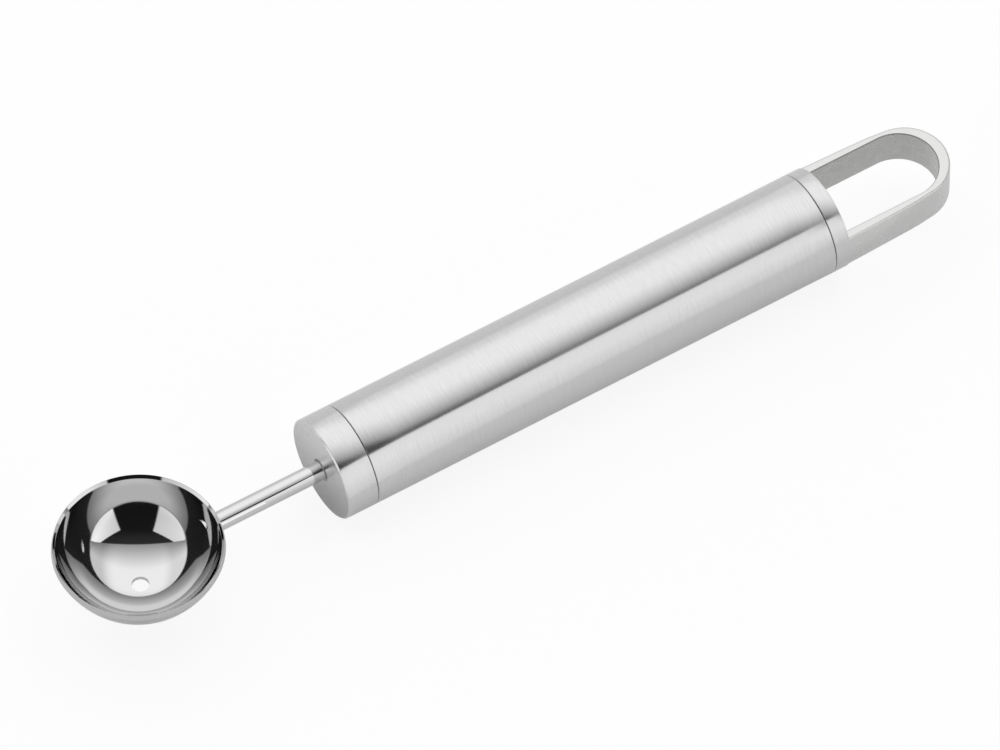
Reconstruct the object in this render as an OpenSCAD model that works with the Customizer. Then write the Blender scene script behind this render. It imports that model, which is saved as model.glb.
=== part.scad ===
// Melon baller: a drawn scoop on a round stem, set in a hollow round handle with a hanging loop.
// The origin is on the handle's axis, half way along the tube.
// +X runs towards the hanging loop and +Z towards the open side of the bowl.

/* [Handle tube] */
// Outer diameter of the handle
handle_d = 19; // [18.6:0.1:20]
// Length of the tube between the two parting lines
tube_len = 93.5; // [70:0.5:120]
// Wall of the tube
tube_wall = 1.2; // [0.8:0.1:1.6]
// Chamfer on each edge of a parting line
seam_chamfer = 0.15; // [0.05:0.05:0.25]

/* [Front cap] */
// Length of the cap that shows in front of the tube
collar_len = 6; // [4:0.5:12]
// Bevel round the flat front face
face_bevel = 0.3; // [0.1:0.1:0.6]
// Length of the spigot inside the tube
front_spigot_len = 14; // [12:0.5:20]
// Depth of the countersink round the stem
mouth_sink = 0.35; // [0.1:0.05:0.6]

/* [Stem] */
// Diameter of the stem
stem_d = 3.5; // [3:0.1:4.5]
// Distance from the front face to the middle of the bowl
bowl_reach = 36.5; // [30:0.5:50]
// Diameter of the cross pin that locks the stem
pin_d = 1.5; // [1:0.1:2]
// Distance from the end of the spigot to the cross pin
pin_inset = 4; // [2.5:0.5:5]

/* [Bowl] */
// Radius of the cutting edge
rim_r = 14.85; // [14.4:0.05:15]
// Widest outer radius, at the foot of the rim's outer bevel
bowl_r = 15.05; // [15.05:0.05:15.6]
// Height of the rim's outer bevel
rim_bevel_h = 1; // [0.5:0.1:1.5]
// Depth of the bowl from the rim to the outside of its bottom
bowl_depth = 12.7; // [12.3:0.1:13.2]
// Wall of the bowl
bowl_wall = 0.8; // [0.6:0.1:1]
// Height of the rim above the handle's axis
rim_height = 5; // [4:0.5:6]
// Diameter of the vent hole in the bottom
vent_d = 3.1; // [2:0.1:5]
// Width of the weld at the back of the bowl, measured out from the stem
weld_w = 1.3; // [0.6:0.1:1.5]
// Reach of the weld along the stem, each way from the bowl's wall
weld_reach = 2.6; // [2.6:0.1:3.2]

/* [End cap and loop] */
// Length of the round ring behind the tube
ring_len = 3; // [2:0.5:6]
// Length of the whole end behind the tube
end_len = 28; // [26:0.5:40]
// Thickness of the flat loop
loop_t = 7.6; // [5:0.2:9]
// Radius of the loop's bar, slightly drawn in from the handle's
loop_r = 9.1; // [8.4:0.1:9.1]
// Distance behind the tube at which the loop's bar reaches that radius
draw_len = 15; // [8:0.5:16]
// Radius of the loop's round end in plan
end_r = 8; // [7.6:0.1:8.6]
// Width of the slot
slot_w = 14; // [10:0.2:14.6]
// Wall between the slot and the round end
end_wall = 2.2; // [1.4:0.1:3]
// Length of the spigot inside the tube
rear_spigot_len = 10; // [9:0.5:16]

/* [Hidden] */
$fn = 96;

// Overrun of every cut
cut = 1;

// Clearances
spigot_gap = 0.05;
stem_gap = 0.02;
bond_gap = 0.02;
mouth_gap = 0.1;
pin_end_gap = 0.3;

// Groove for the adhesive in each spigot
groove_inset = 3;
groove_len = 3.5;
groove_depth = 0.5;

// Lean of the loop's sides in plan, and how far inside the round end's widest place they pass
side_lean = 6.5;
side_trim = 0.03;

// Other small sizes
spigot_chamfer = 0.5;
weld_edge = 0.1;

// Radii
handle_r = handle_d / 2;
bore_r = handle_r - tube_wall;
spigot_r = bore_r - spigot_gap;
stem_r = stem_d / 2;
stem_hole_r = stem_r + stem_gap;
slot_r = slot_w / 2;

// Places along the handle
front_x = -tube_len / 2;
rear_x = tube_len / 2;
face_x = front_x - collar_len;
bowl_x = face_x - bowl_reach;
front_spigot_x = front_x + front_spigot_len;
rear_spigot_x = rear_x - rear_spigot_len;
pin_x = front_spigot_x - pin_inset;
ring_x = rear_x + ring_len;
loop_end_x = rear_x + end_len;

// The bowl's outer profile is two arcs that meet at arc_turn, seen from the rim plane.
// wall_lean is the lean of the outer wall at the foot of the rim bevel.
wall_lean = 18.5;
arc_turn = 45;
lean_det = (cos(wall_lean) - cos(arc_turn)) * (1 - sin(arc_turn))
           - cos(arc_turn) * (sin(arc_turn) - sin(wall_lean));
wall_arc_r = (bowl_r * (1 - sin(arc_turn)) - cos(arc_turn) * (bowl_depth - rim_bevel_h)) / lean_det;
base_arc_r = (bowl_r - wall_arc_r * (cos(wall_lean) - cos(arc_turn))) / cos(arc_turn);
wall_arc_c = [bowl_r - wall_arc_r * cos(wall_lean), wall_arc_r * sin(wall_lean) - rim_bevel_h];
base_arc_c = [0, base_arc_r - bowl_depth];

// Place of the bowl's outside at the height of the handle's axis
neck_r = wall_arc_c[0] + sqrt(pow(wall_arc_r, 2) - pow(wall_arc_c[1] + rim_height, 2));
neck_x = bowl_x + neck_r;

// Turns a profile of [x, radius] points round the handle's axis
module turned(profile) {
    rotate([0, 90, 0]) rotate_extrude() polygon([for (p = profile) [p[1], p[0]]]);
}

// A rod along X from x0 to x1
module rod(x0, x1, r) {
    turned([[x0, 0], [x0, r], [x1, r], [x1, 0]]);
}

// A hole square to the handle's axis, through everything on it
module cross_hole(x, r) {
    translate([x, 0, -handle_d]) cylinder(h = 2 * handle_d, r = r);
}

// Half section of the bowl's outer form, thinned by inset, below the rim plane.
// The wall's arc bounds it all, and below arc_turn the base's arc cuts it down.
module bowl_section(inset) {
    reach = 2 * wall_arc_r;
    turn = base_arc_c + reach * [cos(arc_turn), -sin(arc_turn)];
    difference() {
        intersection() {
            translate(wall_arc_c) circle(r = wall_arc_r - inset);
            translate([0, -reach]) square(reach);
        }
        difference() {
            polygon([base_arc_c, turn, [0, turn[1]]]);
            translate(base_arc_c) circle(r = base_arc_r - inset);
        }
    }
}

// The bowl filled solid, in its place. Its seam is turned to the side away from the stem.
module bowl_form(inset) {
    translate([bowl_x, 0, rim_height]) rotate([0, 0, 180]) rotate_extrude() bowl_section(inset);
}

module bowl() {
    color("gainsboro")
    translate([bowl_x, 0, rim_height])
    difference() {
        rotate_extrude() difference() {
            bowl_section(0);
            bowl_section(bowl_wall);
            polygon([[rim_r, 0], [bowl_r, -rim_bevel_h], [bowl_r + cut, -rim_bevel_h], [bowl_r + cut, 0]]);
        }
        translate([0, 0, -bowl_depth - cut]) cylinder(h = bowl_depth, r = vent_d / 2);
    }
}

// Weld that runs out along the stem from the back of the bowl
module bowl_weld() {
    weld_x0 = neck_x - weld_reach;
    weld_x1 = neck_x + weld_reach;
    color("darkgray")
    difference() {
        turned([[weld_x0, 0], [weld_x0, stem_r + weld_w], [weld_x1, stem_r + weld_edge], [weld_x1, 0]]);
        rod(bowl_x, face_x, stem_r);
        bowl_form(0);
    }
}

module stem() {
    color("silver")
    difference() {
        rod(bowl_x, front_spigot_x, stem_r);
        bowl_form(0);
        cross_hole(pin_x, pin_d / 2);
    }
}

// Outline of a spigot from its shoulder at x0 over length len, in direction dir
function spigot_points(x0, len, dir) = [
    [x0, spigot_r],
    [x0 + dir * groove_inset, spigot_r],
    [x0 + dir * groove_inset, spigot_r - groove_depth],
    [x0 + dir * (groove_inset + groove_len), spigot_r - groove_depth],
    [x0 + dir * (groove_inset + groove_len), spigot_r],
    [x0 + dir * (len - spigot_chamfer), spigot_r],
    [x0 + dir * len, spigot_r - spigot_chamfer]
];

// The cap's outside, then its spigot, then back along the bore to the countersink
module front_cap() {
    mouth_r = stem_r + mouth_gap;
    color("silver")
    difference() {
        turned(concat(
            [[face_x, mouth_r + mouth_sink], [face_x, handle_r - face_bevel], [face_x + face_bevel, handle_r]],
            [[front_x - seam_chamfer, handle_r], [front_x, handle_r - seam_chamfer]],
            spigot_points(front_x, front_spigot_len, 1),
            [[front_spigot_x, stem_hole_r], [face_x + mouth_sink, stem_hole_r], [face_x + mouth_sink, mouth_r]]
        ));
        cross_hole(pin_x, pin_d / 2 + stem_gap);
    }
}

module stem_pin() {
    half = spigot_r - pin_end_gap;
    color("dimgray")
    translate([pin_x, 0, -half]) cylinder(h = 2 * half, r = pin_d / 2);
}

// Adhesive ring that fills the groove of the spigot with its shoulder at x0
module bond_ring(x0, dir) {
    near_x = x0 + dir * (groove_inset + bond_gap);
    far_x = x0 + dir * (groove_inset + groove_len - bond_gap);
    inner_r = spigot_r - groove_depth + bond_gap;
    outer_r = bore_r - bond_gap;
    turned([[near_x, inner_r], [near_x, outer_r], [far_x, outer_r], [far_x, inner_r]]);
}

module front_bond() {
    color("tan") bond_ring(front_x, 1);
}

module rear_bond() {
    color("tan") bond_ring(rear_x, -1);
}

module handle_tube() {
    color("lightgray")
    turned([
        [front_x, bore_r], [front_x, handle_r - seam_chamfer], [front_x + seam_chamfer, handle_r],
        [rear_x - seam_chamfer, handle_r], [rear_x, handle_r - seam_chamfer], [rear_x, bore_r]
    ]);
}

// The loop's outline in plan, from inside the ring to the round end. A wedge trims its sides.
module loop_plan() {
    end_cx = loop_end_x - end_r;
    far_x = loop_end_x + cut;
    root_y = end_r - side_trim + (end_cx - rear_x) * tan(side_lean);
    far_y = end_r - side_trim + (end_cx - far_x) * tan(side_lean);
    intersection() {
        polygon([[rear_x, -root_y], [far_x, -far_y], [far_x, far_y], [rear_x, root_y]]);
        union() {
            translate([rear_x, -handle_d]) square([end_cx - rear_x, 2 * handle_d]);
            translate([end_cx, 0]) circle(r = end_r);
        }
    }
}

// The slot in plan, square at the ring and round at the far end
module slot_plan() {
    slot_cx = loop_end_x - end_wall - slot_r;
    translate([ring_x, -slot_r]) square([slot_cx - ring_x, slot_w]);
    translate([slot_cx, 0]) circle(r = slot_r);
}

// A turned bar with the spigot at its front. Behind the ring it is cut down to the loop.
module end_cap() {
    bar_end_x = loop_end_x + cut;
    color("silver")
    difference() {
        turned(concat(
            [[bar_end_x, 0], [bar_end_x, loop_r], [rear_x + draw_len, loop_r], [ring_x, handle_r]],
            [[rear_x + seam_chamfer, handle_r], [rear_x, handle_r - seam_chamfer]],
            spigot_points(rear_x, rear_spigot_len, -1),
            [[rear_spigot_x, 0]]
        ));
        difference() {
            translate([ring_x, -handle_d, -handle_d]) cube([end_len, 2 * handle_d, 2 * handle_d]);
            translate([0, 0, -loop_t / 2]) linear_extrude(loop_t) loop_plan();
        }
        translate([0, 0, -loop_t]) linear_extrude(2 * loop_t) slot_plan();
    }
}

bowl();
bowl_weld();
stem();
front_cap();
stem_pin();
front_bond();
handle_tube();
rear_bond();
end_cap();
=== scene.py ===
# Looks of the melon baller: finer meshes for the turned and drawn pieces, their finishes,
# and the studio. The frame is the CAD model's, in metres: +X towards the hanging loop, +Z up.
import math

import bmesh
import bpy
from mathutils import Matrix, Vector


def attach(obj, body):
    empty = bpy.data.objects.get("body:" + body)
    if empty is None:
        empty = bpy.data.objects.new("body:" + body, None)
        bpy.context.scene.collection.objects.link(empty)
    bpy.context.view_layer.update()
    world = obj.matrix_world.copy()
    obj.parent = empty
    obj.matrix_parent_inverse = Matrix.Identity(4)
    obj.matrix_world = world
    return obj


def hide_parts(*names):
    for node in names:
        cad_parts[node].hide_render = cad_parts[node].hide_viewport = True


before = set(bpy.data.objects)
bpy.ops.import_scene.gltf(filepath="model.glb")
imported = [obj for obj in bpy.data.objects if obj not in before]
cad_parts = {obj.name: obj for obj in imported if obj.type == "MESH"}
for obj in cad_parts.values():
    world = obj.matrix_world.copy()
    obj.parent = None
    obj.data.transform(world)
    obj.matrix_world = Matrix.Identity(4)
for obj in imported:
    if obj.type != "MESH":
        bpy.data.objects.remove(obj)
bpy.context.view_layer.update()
MM = 0.001

# Meshes: steps round the turned pieces, the longest parts along them, and angles of sharp edges
HANDLE_STEPS = 256
STEM_STEPS = 96
BOWL_STEPS = 288
TUBE_PART = 6 * MM
STEM_PART = 4 * MM
SHARP_ANGLE = 30
FINE_ANGLE = 24
FACE_MARGIN = 0.01 * MM
MERGE = 0.002 * MM
SMALL = 0.001

# Handle
HANDLE_R = 9.5 * MM
TUBE_HALF = 46.75 * MM
BORE_R = 8.3 * MM
SEAM_W = 0.13 * MM
SEAM_DEPTH = 0.4 * MM
SEAM_SOFT = 0.03 * MM
CAP_SOFT = 0.08 * MM
CAP_SEAM_SOFT = 0.4 * CAP_SOFT
FACE_X = -52.75 * MM
FACE_BEVEL = 0.3 * MM
MOUTH_R = 1.85 * MM
MOUTH_SINK = 0.35 * MM
AXIS_R = 0.0004 * MM

# Stem
STEM_R = 1.75 * MM
STEM_HOLE_R = 1.77 * MM
STEM_END_X = -32.75 * MM
STEM_ROOT = 0.35 * MM

# Bowl
BOWL_CENTRE = Vector((-89.25, 0, 5)) * MM
RIM_R = 14.85 * MM
BOWL_R = 15.05 * MM
RIM_BEVEL = 1.0 * MM
BOWL_DEPTH = 12.7 * MM
BOWL_WALL = 0.8 * MM
WALL_LEAN = math.radians(18.5)
ARC_TURN = math.radians(45)
VENT_R = 1.55 * MM
RIM_EDGE = 0.06 * MM
RIM_SOFT = 0.3 * RIM_EDGE
RIM_DROP = 0.5 * MM

# End cap and loop
RING_X = 49.75 * MM
RING_EDGE = 0.15 * MM
SPIGOT_X = 36.75 * MM
LOOP_END_X = 74.75 * MM
LOOP_R = 9.1 * MM
LOOP_ROOT_R = 9.47 * MM
LOOP_DRAW_X = 61.75 * MM
LOOP_HALF_T = 3.8 * MM
LOOP_EDGE = 0.45 * MM
SLOT_EDGE = 0.22 * MM
LOOP_END_R = 7.95 * MM
SIDE_LEAN = math.radians(6.5)
SLOT_R = 7.0 * MM
END_WALL = 2.2 * MM
SLOT_CX = LOOP_END_X - END_WALL - SLOT_R
LOOP_END_CX = LOOP_END_X - LOOP_END_R
SECTION_STEPS = 8
LEG_STEPS = 16
END_STEPS = 96

# Finishes of a cap's faces, by their place in its list, and the slopes that tell the faces apart.
# The sunk mouth, the slot's wall and the slot's rounded edges take darker steel as painted shade
FACE_FINISH = 1
MOUTH_PAINTED_SHADE = 2
RING_FINISH = 0
LOOP_FINISH = 1
SLOT_WALL_PAINTED_SHADE = 2
SLOT_RIM_PAINTED_SHADE = 3
FACE_SLOPE = 0.9
TOP_SLOPE = 0.95
WALL_SLOPE = 0.05

# Finishes: the middle range of a noise, and painted shade that changes with the height on a piece
# (the bowl's mirror darker high on its wall, the handle's face darker below and lighter above)
NOISE_MIDDLE = (0.25, 0.75)
BOWL_PAINTED_SHADE_Z = (-3.5 * MM, -1.0 * MM)
BOWL_PAINTED_SHADES = (1, 0.84)
FACE_SHADES = (0.68, 1.1)

# Camera
CAMERA_PLACE = Vector((-702.954, -1157.591, 1891.748)) * MM
CAMERA_BACK = Vector((-0.29585, -0.49885, 0.81463))
CAMERA_AZIMUTH = math.radians(-30.67)
CAMERA_ROLL = math.radians(-0.97)
CAMERA_LENS = 481.2
CAMERA_SENSOR = 36
CAMERA_FAR = 20

# Sky: a pair is the start and end of a fade, or the slope and base of a straight line
LEAST_HEIGHT = 0.02
LEAST_NEAR = 0.01
BOX_FADE = (0.75, -0.55)
BOX_LEVEL = (1.03, 0.26)
FAR_FADE = (-0.9, -2.0)
FAR_LEVEL = (-0.24, 1.13)
BOX_RIGHT_FADE = (0.6, 1.4)
BOX_RIGHT_LEVEL = (-0.36, 1)
BOX_LEFT_FADE = (-0.6, -1.1)
BOX_LEFT_LEVEL = (-0.2, 1)
BOX_CLOSE = (0.50, 0.46)
PANEL_OPEN = (0.46, 0.5)
RIGHT_LEVEL = (0.3, 0.54)
LEFT_LEVEL = (-0.13, 0.7)
RIGHT_TOP = (-0.64, 1.54)
LEFT_TOP = (0.6, 1.29)
TOP_FADE = (-0.03, 0.03)
RIGHT_INNER = (0.62, 0.7)
LEFT_INNER = (-0.48, -0.56)
PANEL_MOST = 1.25
LENS_NEAR = (1.1, 0.5)
LENS_ASIDE = (2.5, 0.5)
LENS_LEVEL = (0.02, 0.011)

# Floor
FLOOR_Z = -9.52 * MM
FLOOR_HALF = 1.6
FLOOR_PARTS = 8
FLOOR_SHADE = 0.88
FLOOR_GLOW = 1.08
GLOW_SHARE = (0.6, 0.2)

# Card: places along the handle with the card's rise there, against its distance from the axis
CARD_RISES = ((-62 * MM, 0.65), (-50 * MM, 1.0), (84 * MM, 1.15))
CARD_SPREAD = 0.25
CARD_GAP = 4 * MM
CARD_FADE = (0, -0.5)
CARD_LEVELS = (0.8, 1.0)


def finish_mesh(bm, name, sharp_angle=SHARP_ANGLE):
    """Makes a piece with smooth faces, and sharp edges where it turns by more than the angle."""
    bmesh.ops.recalc_face_normals(bm, faces=bm.faces)
    for face in bm.faces:
        face.smooth = True
    limit = math.radians(sharp_angle)
    for edge in bm.edges:
        edge.smooth = not (len(edge.link_faces) == 2 and edge.calc_face_angle() > limit)
    mesh = bpy.data.meshes.new(name)
    bm.to_mesh(mesh)
    bm.free()
    piece = bpy.data.objects.new(name, mesh)
    bpy.context.scene.collection.objects.link(piece)
    return piece


def join_rows(bm, rows, closed):
    """Faces between neighbouring rows of points, each row a closed loop."""
    pairs = list(zip(rows, rows[1:]))
    if closed:
        pairs.append((rows[-1], rows[0]))
    for here, there in pairs:
        for j in range(len(here)):
            k = (j + 1) % len(here)
            bm.faces.new((here[j], here[k], there[k], there[j]))


def revolve(points, axis, steps):
    """Turns a closed profile of (along, radius) points round the axis "X" or "Z"."""
    bm = bmesh.new()
    rows = []
    for i in range(steps):
        turn = math.tau * i / steps
        c, s = math.cos(turn), math.sin(turn)
        if axis == "X":
            rows.append([bm.verts.new((along, radius * c, radius * s)) for along, radius in points])
        else:
            rows.append([bm.verts.new((radius * c, radius * s, along)) for along, radius in points])
    join_rows(bm, rows, True)
    return bm


def rounded(points, radii, steps=4):
    """Rounds the corners of a closed profile by the given radii, one for each point."""
    out = []
    count = len(points)
    for i, point in enumerate(points):
        p = Vector(point)
        a = Vector(points[i - 1]) - p
        b = Vector(points[(i + 1) % count]) - p
        if radii[i] <= 0:
            out.append(tuple(p))
            continue
        half = a.angle(b) / 2
        reach = min(radii[i] / math.tan(half), a.length / 2, b.length / 2)
        start = p + a.normalized() * reach
        end = p + b.normalized() * reach
        centre = p + (a.normalized() + b.normalized()).normalized() * (reach / math.cos(half))
        u, v = start - centre, end - centre
        turn = u.angle_signed(v)
        for k in range(steps + 1):
            out.append(tuple(centre + Matrix.Rotation(-turn * k / steps, 2) @ u))
    return out


def lengthwise(points, step):
    """Adds points along the long straight runs of a closed profile."""
    out = []
    for i, point in enumerate(points):
        p, q = Vector(point), Vector(points[(i + 1) % len(points)])
        parts = max(1, math.ceil((q - p).length / step))
        out += [tuple(p.lerp(q, k / parts)) for k in range(parts)]
    return out


def bowl_arcs():
    """Radii and centres of the two arcs of the bowl's outer profile, from the rim plane."""
    lean_c, lean_s = math.cos(WALL_LEAN), math.sin(WALL_LEAN)
    turn_c, turn_s = math.cos(ARC_TURN), math.sin(ARC_TURN)
    det = (lean_c - turn_c) * (1 - turn_s) - turn_c * (turn_s - lean_s)
    wall_r = (BOWL_R * (1 - turn_s) - turn_c * (BOWL_DEPTH - RIM_BEVEL)) / det
    base_r = (BOWL_R - wall_r * (lean_c - turn_c)) / turn_c
    wall_c = (BOWL_R - wall_r * lean_c, wall_r * lean_s - RIM_BEVEL)
    base_c = (0, base_r - BOWL_DEPTH)
    return wall_r, wall_c, base_r, base_c


def bowl_curve(inset, start_drop, count=72):
    """Points (height, radius) of the bowl's profile, from below the rim down to the vent."""
    wall_r, wall_c, base_r, base_c = bowl_arcs()
    wall_r -= inset
    base_r -= inset
    first = math.asin((wall_c[1] + start_drop) / wall_r)
    last = math.acos(VENT_R / base_r)
    points = []
    for i in range(count + 1):
        turn = first + (last - first) * i / count
        radius, centre = (wall_r, wall_c) if turn < ARC_TURN else (base_r, base_c)
        points.append((centre[1] - radius * math.sin(turn), centre[0] + radius * math.cos(turn)))
    return points


def make_bowl():
    """The cutting edge is ground from inside too, so the rim falls to the bowl's inner wall."""
    outer = bowl_curve(0, RIM_BEVEL)
    inner = bowl_curve(BOWL_WALL, RIM_DROP)
    inner_r = inner[0][1]
    land = [
        (-RIM_DROP - RIM_EDGE, inner_r - RIM_SOFT),
        (-RIM_DROP + RIM_SOFT, inner_r + RIM_EDGE),
        (-RIM_EDGE, RIM_R - 2 * RIM_EDGE),
        (0, RIM_R - RIM_EDGE),
        (-RIM_SOFT, RIM_R - RIM_SOFT),
        (-RIM_EDGE, RIM_R),
    ]
    # The land takes the place of the inner curve's first two points.
    bm = revolve(outer + inner[:1:-1] + land, "Z", BOWL_STEPS)
    bmesh.ops.translate(bm, verts=bm.verts, vec=BOWL_CENTRE)
    return finish_mesh(bm, "scoop_bowl", FINE_ANGLE)


def make_stem():
    """The rod starts just inside the bowl's sloping outer wall, within the weld."""
    wall_r, wall_c, _, _ = bowl_arcs()
    neck = wall_c[0] + math.sqrt(wall_r ** 2 - (wall_c[1] + BOWL_CENTRE.z) ** 2)
    start = BOWL_CENTRE.x + neck - STEM_ROOT
    outline = [(start, AXIS_R), (start, STEM_R), (STEM_END_X, STEM_R), (STEM_END_X, AXIS_R)]
    return finish_mesh(revolve(lengthwise(outline, STEM_PART), "X", STEM_STEPS), "stem_rod")


def make_front_cap():
    """A bevelled face with the stem's sunk mouth, half of the parting groove, and the spigot."""
    outline = [
        (FACE_X, MOUTH_R + MOUTH_SINK),
        (FACE_X, HANDLE_R - FACE_BEVEL),
        (FACE_X + FACE_BEVEL, HANDLE_R),
        (-TUBE_HALF - SEAM_W, HANDLE_R),
        (-TUBE_HALF, HANDLE_R - SEAM_DEPTH),
        (-TUBE_HALF, BORE_R),
        (STEM_END_X, BORE_R),
        (STEM_END_X, STEM_HOLE_R),
        (FACE_X + MOUTH_SINK, STEM_HOLE_R),
        (FACE_X + MOUTH_SINK, MOUTH_R),
    ]
    radii = [CAP_SOFT, CAP_SOFT, CAP_SOFT, CAP_SEAM_SOFT] + [0] * 6
    points = rounded(outline, radii, steps=3)
    piece = finish_mesh(revolve(points, "X", HANDLE_STEPS), "cap_front")
    # The sunk mouth takes the dark edge steel: painted shade round the stem's entry.
    for face in piece.data.polygons:
        if math.hypot(face.center.y, face.center.z) < MOUTH_R + MOUTH_SINK:
            face.material_index = MOUTH_PAINTED_SHADE
        elif face.normal.x < -FACE_SLOPE and face.center.x < FACE_X + 0.5 * FACE_BEVEL:
            face.material_index = FACE_FINISH
    return piece


def make_tube():
    """The tube ends in the other half of each parting groove."""
    outline = [
        (-TUBE_HALF, BORE_R),
        (-TUBE_HALF, HANDLE_R - SEAM_DEPTH),
        (-TUBE_HALF + SEAM_W, HANDLE_R),
        (TUBE_HALF - SEAM_W, HANDLE_R),
        (TUBE_HALF, HANDLE_R - SEAM_DEPTH),
        (TUBE_HALF, BORE_R),
    ]
    points = rounded(outline, [0, 0, SEAM_SOFT, SEAM_SOFT, 0, 0], steps=2)
    return finish_mesh(revolve(lengthwise(points, TUBE_PART), "X", HANDLE_STEPS), "tube_brushed")


def plan_reach(base_x, out):
    """Distance from the slot's middle line, in direction out, to the loop's outline in plan."""
    lean_c, lean_s = math.cos(SIDE_LEAN), math.sin(SIDE_LEAN)
    shift = LOOP_END_CX - base_x
    slope = abs(out[1]) * lean_c + out[0] * lean_s
    line = (LOOP_END_R + shift * lean_s) / slope
    if base_x + line * out[0] < LOOP_END_CX + LOOP_END_R * lean_s:
        return line
    return shift * out[0] + math.sqrt(LOOP_END_R ** 2 - (shift * out[1]) ** 2)


def loop_section(base_x, out):
    """Points of the loop's section at a station: out to the bar's round side or the plan's side."""
    reach = plan_reach(base_x, out)
    drawn = (base_x + reach * out[0] - RING_X) / (LOOP_DRAW_X - RING_X)
    bar_r = LOOP_ROOT_R + (LOOP_R - LOOP_ROOT_R) * min(1, max(0, drawn))
    outline = []
    for k in range(SECTION_STEPS + 1):
        z = LOOP_HALF_T * (1 - 2 * k / SECTION_STEPS)
        bar_reach = math.sqrt(bar_r ** 2 - z ** 2) / max(abs(out[1]), SMALL)
        outline.append((min(reach, bar_reach), z))
    outline += [(SLOT_R, -LOOP_HALF_T), (SLOT_R, LOOP_HALF_T)]
    radii = [LOOP_EDGE] + [0] * (SECTION_STEPS - 1) + [LOOP_EDGE] + [SLOT_EDGE] * 2
    return [(base_x + out[0] * d, out[1] * d, z) for d, z in rounded(outline, radii)]


def make_loop():
    """One band round the slot: a leg on either side, and the round end between them."""
    leg = SLOT_CX - RING_X + RING_EDGE
    leg_x = [RING_X - RING_EDGE + leg * k / LEG_STEPS for k in range(LEG_STEPS)]
    stations = [(x, (0, 1)) for x in leg_x]
    for k in range(END_STEPS + 1):
        turn = math.pi / 2 - math.pi * k / END_STEPS
        stations.append((SLOT_CX, (math.cos(turn), math.sin(turn))))
    stations += [(x, (0, -1)) for x in reversed(leg_x)]
    bm = bmesh.new()
    rows = [[bm.verts.new(p) for p in loop_section(*station)] for station in stations]
    join_rows(bm, rows, False)
    bm.faces.new(rows[0])
    bm.faces.new(rows[-1][::-1])
    return finish_mesh(bm, "loop_band")


def end_finish(face):
    """Finish of a face of the end cap: the turned ring, the loop, the slot's wall or its edges; the
    wall and the edges take darker steel, painted shade in the slot.
    """
    if face.center.x < RING_X - FACE_MARGIN:
        return RING_FINISH
    on_ring = face.center.x < RING_X + FACE_MARGIN
    inward = math.hypot(max(face.center.x - SLOT_CX, 0), face.center.y)
    upright = abs(face.normal.z)
    if on_ring or inward > SLOT_R + SLOT_EDGE or upright > TOP_SLOPE:
        return LOOP_FINISH
    return SLOT_WALL_PAINTED_SHADE if upright < WALL_SLOPE else SLOT_RIM_PAINTED_SHADE


def make_end_cap():
    """The ring with its spigot is turned, and the loop is joined to it as one piece."""
    loop = make_loop()
    outline = [
        (SPIGOT_X, AXIS_R),
        (SPIGOT_X, BORE_R),
        (TUBE_HALF, BORE_R),
        (TUBE_HALF, HANDLE_R - SEAM_DEPTH),
        (TUBE_HALF + SEAM_W, HANDLE_R),
        (RING_X, HANDLE_R),
        (RING_X, AXIS_R),
    ]
    radii = [0, 0, 0, 0, SEAM_SOFT, RING_EDGE, 0]
    ring = finish_mesh(revolve(rounded(outline, radii), "X", HANDLE_STEPS), "end_ring")
    joint = ring.modifiers.new("join", "BOOLEAN")
    joint.operation = "UNION"
    joint.object = loop
    joint.solver = "EXACT"
    joined = bmesh.new()
    joined.from_mesh(ring.evaluated_get(bpy.context.evaluated_depsgraph_get()).to_mesh())
    for old in (ring, loop):
        bpy.data.objects.remove(old)
    bmesh.ops.remove_doubles(joined, verts=joined.verts, dist=MERGE)
    piece = finish_mesh(joined, "end_loop", FINE_ANGLE)
    for face in piece.data.polygons:
        face.material_index = end_finish(face)
    return piece


def node(tree, kind, **values):
    """A node with the given settings and socket values."""
    made = tree.nodes.new(kind)
    for key, value in values.items():
        if key in made.inputs:
            made.inputs[key].default_value = value
        else:
            setattr(made, key, value)
    return made


def calc(tree, operation, *values):
    """The result of a sum on numbers and sockets."""
    made = node(tree, "ShaderNodeMath", operation=operation)
    for i, value in enumerate(values):
        if isinstance(value, (int, float)):
            made.inputs[i].default_value = value
        else:
            tree.links.new(value, made.inputs[i])
    return made.outputs["Value"]


def mapped(tree, value, source, target, **settings):
    """Carries a value from the source range over to the target range."""
    made = node(tree, "ShaderNodeMapRange", **settings)
    sockets = ("From Min", "From Max", "To Min", "To Max")
    for socket, number in zip(sockets, (*source, *target)):
        made.inputs[socket].default_value = number
    tree.links.new(value, made.inputs["Value"])
    return made.outputs["Result"]


def mixed(tree, share, first, second):
    """Mixes two shaders: the share is the second one's."""
    made = node(tree, "ShaderNodeMixShader")
    tree.links.new(share, made.inputs["Fac"])
    tree.links.new(first, made.inputs[1])
    tree.links.new(second, made.inputs[2])
    return made.outputs["Shader"]


def place_parts(tree):
    """X, Y and Z of the place on the piece."""
    place = node(tree, "ShaderNodeTexCoord")
    parts = node(tree, "ShaderNodeSeparateXYZ")
    tree.links.new(place.outputs["Object"], parts.inputs["Vector"])
    return parts.outputs


def new_material(name, color, roughness, anisotropic=0.0, metallic=1.0):
    """The constant values sit on the shader's own sockets."""
    material = bpy.data.materials.new(name)
    material.use_nodes = True
    shader = material.node_tree.nodes["Principled BSDF"]
    shader.inputs["Base Color"].default_value = (*color, 1)
    shader.inputs["Metallic"].default_value = metallic
    shader.inputs["Roughness"].default_value = roughness
    shader.inputs["Anisotropic"].default_value = anisotropic
    return material, material.node_tree, shader


def bare_material(name):
    """A material with no nodes yet, for the studio's own things."""
    material = bpy.data.materials.new(name)
    material.use_nodes = True
    material.node_tree.nodes.clear()
    return material, material.node_tree


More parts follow.
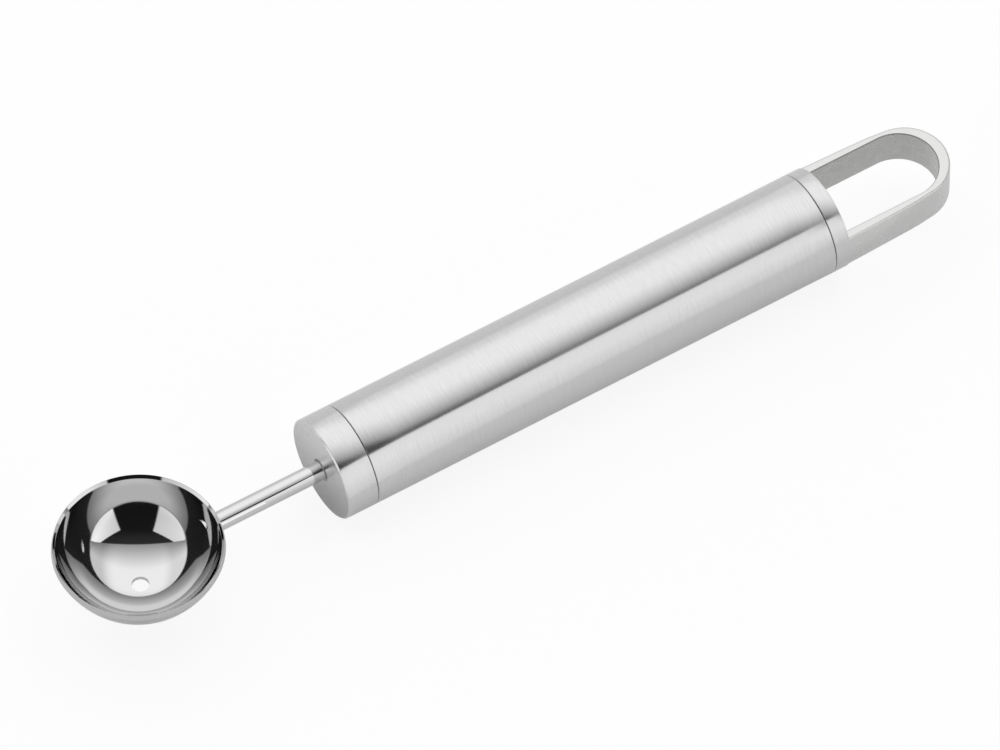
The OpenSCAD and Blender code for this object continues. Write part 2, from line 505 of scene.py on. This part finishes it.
def grain(tree, scale, **values):
    """Noise over the piece, stretched by the scale along each axis."""
    place = node(tree, "ShaderNodeTexCoord")
    stretch = node(tree, "ShaderNodeMapping")
    stretch.inputs["Scale"].default_value = scale
    tree.links.new(place.outputs["Object"], stretch.inputs["Vector"])
    noise = node(tree, "ShaderNodeTexNoise", Scale=1.0, **values)
    tree.links.new(stretch.outputs["Vector"], noise.inputs["Vector"])
    return noise.outputs["Fac"]


def ranged(tree, value, low, high):
    """Spreads the middle of a noise over the range from low to high."""
    return mapped(tree, value, NOISE_MIDDLE, (low, high))


def tinted(tree, shader, shade):
    """Multiplies the colour by a shade, on top of the shade that it has."""
    color = shader.inputs["Base Color"]
    tint = node(tree, "ShaderNodeMix", data_type="RGBA", blend_type="MULTIPLY")
    tint.inputs["Factor"].default_value = 1
    tint.inputs["A"].default_value = color.default_value
    if color.is_linked:
        tree.links.new(color.links[0].from_socket, tint.inputs["A"])
    tree.links.new(shade, tint.inputs["B"])
    tree.links.new(tint.outputs["Result"], color)


def paint_shade_by_height(material, heights, shades):
    """Paints shade into the colour: a painted shade that changes between two heights on the piece.
    """
    tree = material.node_tree
    height = place_parts(tree)["Z"]
    shade = mapped(tree, height, heights, shades, interpolation_type="SMOOTHSTEP")
    tinted(tree, tree.nodes["Principled BSDF"], shade)


def bumped(tree, shader, height, strength, distance):
    """Turns the surface's normal by small heights that the mesh doesn't have."""
    bump = node(tree, "ShaderNodeBump", Strength=strength, Distance=distance)
    tree.links.new(height, bump.inputs["Height"])
    tree.links.new(bump.outputs["Normal"], shader.inputs["Normal"])


def brushed_round(name, color, roughness, shade):
    """Steel brushed round the handle's axis: fine rings, and soft smears along the tube."""
    material, tree, shader = new_material(name, color, roughness, anisotropic=0.85)
    shader.inputs["Anisotropic Rotation"].default_value = 0.25
    tangent = node(tree, "ShaderNodeTangent", direction_type="RADIAL", axis="X")
    tree.links.new(tangent.outputs["Tangent"], shader.inputs["Tangent"])
    lines = grain(tree, (9000, 300, 300), Detail=3.0, Roughness=0.75)
    smears = grain(tree, (40, 260, 260), Detail=2.0)
    spread = ranged(tree, smears, roughness - 0.02, roughness + 0.03)
    tree.links.new(spread, shader.inputs["Roughness"])
    tinted(tree, shader, ranged(tree, lines, 1 - shade, 1 + shade))
    return material


def satin_milled(name, color, roughness, shade):
    """Steel milled and blasted to an even satin, with a faint cloudy mottle."""
    material, tree, shader = new_material(name, color, roughness)
    cloud = grain(tree, (420, 420, 640), Detail=5.0, Roughness=0.65)
    spread = ranged(tree, cloud, roughness - 0.05, roughness + 0.05)
    tree.links.new(spread, shader.inputs["Roughness"])
    tinted(tree, shader, ranged(tree, cloud, 1 - shade, 1 + shade))
    bumped(tree, shader, cloud, strength=0.04, distance=0.02 * MM)
    return material


def polished(name, color, roughness, wave):
    """Buffed steel: a mirror with a faint long swell and hair-fine wipe marks."""
    material, tree, shader = new_material(name, color, roughness)
    hair = grain(tree, (500, 900, 300), Detail=6.0, Roughness=0.7)
    swell = grain(tree, (90, 90, 90), Detail=1.0)
    spread = ranged(tree, hair, 0.75 * roughness, 1.35 * roughness)
    tree.links.new(spread, shader.inputs["Roughness"])
    bumped(tree, shader, swell, strength=wave, distance=0.2 * MM)
    return material


def cured_glue(name, color):
    """Cloudy cured adhesive."""
    material, tree, shader = new_material(name, color, 0.45, metallic=0.0)
    cloud = grain(tree, (700, 700, 700), Detail=3.0)
    tinted(tree, shader, ranged(tree, cloud, 0.85, 1.05))
    return material


def sky_level(tree):
    """Brightness of the sky: a softbox overhead, two side panels, and the dark room between.

    A direction is told by its slopes from the vertical: near is towards the camera, across is
    to the camera's right.
    """
    def line(value, slope, base):
        return calc(tree, "MULTIPLY_ADD", value, slope, base)

    def fade(value, start, end):
        return mapped(tree, value, (start, end), (0, 1), interpolation_type="SMOOTHSTEP")

    def product(first, second):
        return calc(tree, "MULTIPLY", first, second)

    place = node(tree, "ShaderNodeTexCoord")
    turn = node(tree, "ShaderNodeVectorRotate", rotation_type="Z_AXIS", Angle=-CAMERA_AZIMUTH)
    tree.links.new(place.outputs["Generated"], turn.inputs["Vector"])
    parts = node(tree, "ShaderNodeSeparateXYZ")
    tree.links.new(turn.outputs["Vector"], parts.inputs["Vector"])
    height = calc(tree, "MAXIMUM", parts.outputs["Z"], LEAST_HEIGHT)
    near = calc(tree, "DIVIDE", product(parts.outputs["Y"], -1), height)
    across = calc(tree, "DIVIDE", parts.outputs["X"], height)
    aside = calc(tree, "ABSOLUTE", across)

    softbox = line(fade(near, *BOX_FADE), *BOX_LEVEL)
    softbox = calc(tree, "MINIMUM", softbox, line(fade(near, *FAR_FADE), *FAR_LEVEL))
    right_side = line(fade(across, *BOX_RIGHT_FADE), *BOX_RIGHT_LEVEL)
    left_side = line(fade(across, *BOX_LEFT_FADE), *BOX_LEFT_LEVEL)
    softbox = product(softbox, product(right_side, left_side))
    softbox = product(softbox, fade(near, *BOX_CLOSE))

    top = calc(tree, "MINIMUM", line(across, *RIGHT_TOP), line(across, *LEFT_TOP))
    below_top = fade(calc(tree, "SUBTRACT", near, top), *TOP_FADE)
    side = calc(tree, "DIVIDE", across, calc(tree, "MAXIMUM", near, LEAST_NEAR))
    beside = calc(tree, "MAXIMUM", fade(side, *RIGHT_INNER), fade(side, *LEFT_INNER))
    level = calc(tree, "MAXIMUM", line(across, *RIGHT_LEVEL), line(across, *LEFT_LEVEL))
    panels = product(product(below_top, beside), level)
    panels = calc(tree, "MINIMUM", product(panels, fade(near, *PANEL_OPEN)), PANEL_MOST)

    by_lens = product(fade(near, *LENS_NEAR), fade(aside, *LENS_ASIDE))
    room = line(by_lens, *LENS_LEVEL)
    return calc(tree, "MAXIMUM", calc(tree, "MAXIMUM", softbox, panels), room)


def add_world():
    """The sky lights the piece, and the camera sees it plain white."""
    world = bpy.data.worlds.new("studio")
    bpy.context.scene.world = world
    world.use_nodes = True
    tree = world.node_tree
    tree.nodes.clear()
    white = (1, 1, 1, 1)
    studio = node(tree, "ShaderNodeBackground", Color=white)
    tree.links.new(sky_level(tree), studio.inputs["Strength"])
    plain = node(tree, "ShaderNodeBackground", Color=white, Strength=1.0)
    path = node(tree, "ShaderNodeLightPath").outputs
    seen = calc(tree, "MAXIMUM", path["Is Camera Ray"], path["Is Transmission Ray"])
    looks = mixed(tree, seen, studio.outputs["Background"], plain.outputs["Background"])
    out = node(tree, "ShaderNodeOutputWorld")
    tree.links.new(looks, out.inputs["Surface"])


def add_floor():
    """A pale floor that looks white to the camera and keeps a faint shadow."""
    bm = bmesh.new()
    bmesh.ops.create_grid(bm, x_segments=FLOOR_PARTS, y_segments=FLOOR_PARTS, size=FLOOR_HALF)
    bmesh.ops.translate(bm, verts=bm.verts, vec=(0, 0, FLOOR_Z))
    floor = finish_mesh(bm, "studio_floor")
    material, tree = bare_material("pale_floor")
    shaded = node(tree, "ShaderNodeBsdfDiffuse", Color=(FLOOR_SHADE, FLOOR_SHADE, FLOOR_SHADE, 1))
    glow = node(tree, "ShaderNodeEmission", Color=(1, 1, 1, 1), Strength=FLOOR_GLOW)
    path = node(tree, "ShaderNodeLightPath").outputs
    share = calc(tree, "MULTIPLY_ADD", path["Is Camera Ray"], *GLOW_SHARE)
    looks = mixed(tree, share, shaded.outputs["BSDF"], glow.outputs["Emission"])
    out = node(tree, "ShaderNodeOutputMaterial")
    tree.links.new(looks, out.inputs["Surface"])
    floor.data.materials.append(material)


def add_card():
    """A white card in front of the handle, seen only in its steel, and edge on to the bowl."""
    bm = bmesh.new()
    foot, top = [], []
    for x, rise in CARD_RISES:
        y = (x - BOWL_CENTRE.x) * -CARD_SPREAD - CARD_GAP
        foot.append(bm.verts.new((x, y, 0)))
        top.append(bm.verts.new((x, y, -y * rise)))
    bm.faces.new(foot + top[::-1])
    card = finish_mesh(bm, "studio_card")
    material, tree = bare_material("white_card")
    parts = place_parts(tree)
    slope = calc(tree, "DIVIDE", parts["Z"], parts["Y"])
    glow = node(tree, "ShaderNodeEmission", Color=(1, 1, 1, 1))
    tree.links.new(mapped(tree, slope, CARD_FADE, CARD_LEVELS), glow.inputs["Strength"])
    out = node(tree, "ShaderNodeOutputMaterial")
    tree.links.new(glow.outputs["Emission"], out.inputs["Surface"])
    card.data.materials.append(material)
    card.visible_camera = False
    card.visible_diffuse = False
    card.visible_shadow = False


def add_camera():
    """The camera that was solved from the photo's edges."""
    data = bpy.data.cameras.new("photo_camera")
    camera = bpy.data.objects.new("photo_camera", data)
    bpy.context.scene.collection.objects.link(camera)
    bpy.context.scene.camera = camera
    data.sensor_fit = "HORIZONTAL"
    data.sensor_width = CAMERA_SENSOR
    data.lens = CAMERA_LENS
    data.clip_end = CAMERA_FAR
    back = CAMERA_BACK.normalized()
    level_right = Vector((math.cos(CAMERA_AZIMUTH), math.sin(CAMERA_AZIMUTH), 0))
    level_up = back.cross(level_right)
    right = level_right * math.cos(CAMERA_ROLL) + level_up * math.sin(CAMERA_ROLL)
    turn = Matrix((right, back.cross(right), back)).transposed().to_4x4()
    camera.matrix_world = Matrix.Translation(CAMERA_PLACE) @ turn


mirror = polished("mirror_steel", (0.73, 0.73, 0.73), roughness=0.045, wave=0.02)
# Painted shade: the mirror's colour darkens on the bowl's upper wall, towards the rim.
paint_shade_by_height(mirror, BOWL_PAINTED_SHADE_Z, BOWL_PAINTED_SHADES)
fine = polished("fine_steel", (0.73, 0.73, 0.73), roughness=0.06, wave=0.02)
weld = polished("weld_bead", (0.65, 0.64, 0.63), roughness=0.22, wave=0.1)
ground = polished("ground_pin", (0.55, 0.55, 0.55), roughness=0.3, wave=0.05)
glue = cured_glue("cured_glue", (0.72, 0.66, 0.5))
brushed = brushed_round("brushed_round", (0.72, 0.72, 0.72), roughness=0.215, shade=0.07)
face_satin = satin_milled("face_satin", (0.67, 0.67, 0.67), roughness=0.3, shade=0.03)
# Painted shade and light: the face's colour is darker at the bottom and lighter at the top.
paint_shade_by_height(face_satin, (-HANDLE_R, HANDLE_R), FACE_SHADES)
loop_satin = satin_milled("loop_satin", (0.71, 0.71, 0.705), roughness=0.26, shade=0.03)
# Painted shade: the slot's wall is darker than the loop, and its rounded edges and the front cap's
# sunk mouth darker still; the wall's stronger mottle is tone.
slot_satin_painted_shade = satin_milled("slot_satin_painted_shade", (0.6, 0.6, 0.59), roughness=0.26, shade=0.07)
edge_painted_shade = satin_milled("edge_painted_shade", (0.36, 0.36, 0.36), roughness=0.35, shade=0.05)

PIECES = [
    (make_bowl, "bowl", "polished_steel", [mirror]),
    (make_stem, "stem", "stem_steel", [fine]),
    (make_front_cap, "front_cap", "satin_steel", [brushed, face_satin, edge_painted_shade]),
    (make_tube, "handle_tube", "brushed_steel", [brushed]),
    (make_end_cap, "end_cap", "satin_steel", [brushed, loop_satin, slot_satin_painted_shade, edge_painted_shade]),
]
for make, name, slot, materials in PIECES:
    piece = make()
    for material in materials:
        piece.data.materials.append(material)
    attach(piece, "root")
    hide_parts(name)

KEPT = {"bowl_weld": weld, "stem_pin": ground, "front_bond": glue, "rear_bond": glue}
for name, material in KEPT.items():
    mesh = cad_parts[name].data
    mesh.materials.clear()
    mesh.materials.append(material)

add_world()
add_floor()
add_card()
add_camera()
bpy.context.scene.view_settings.view_transform = "Standard"
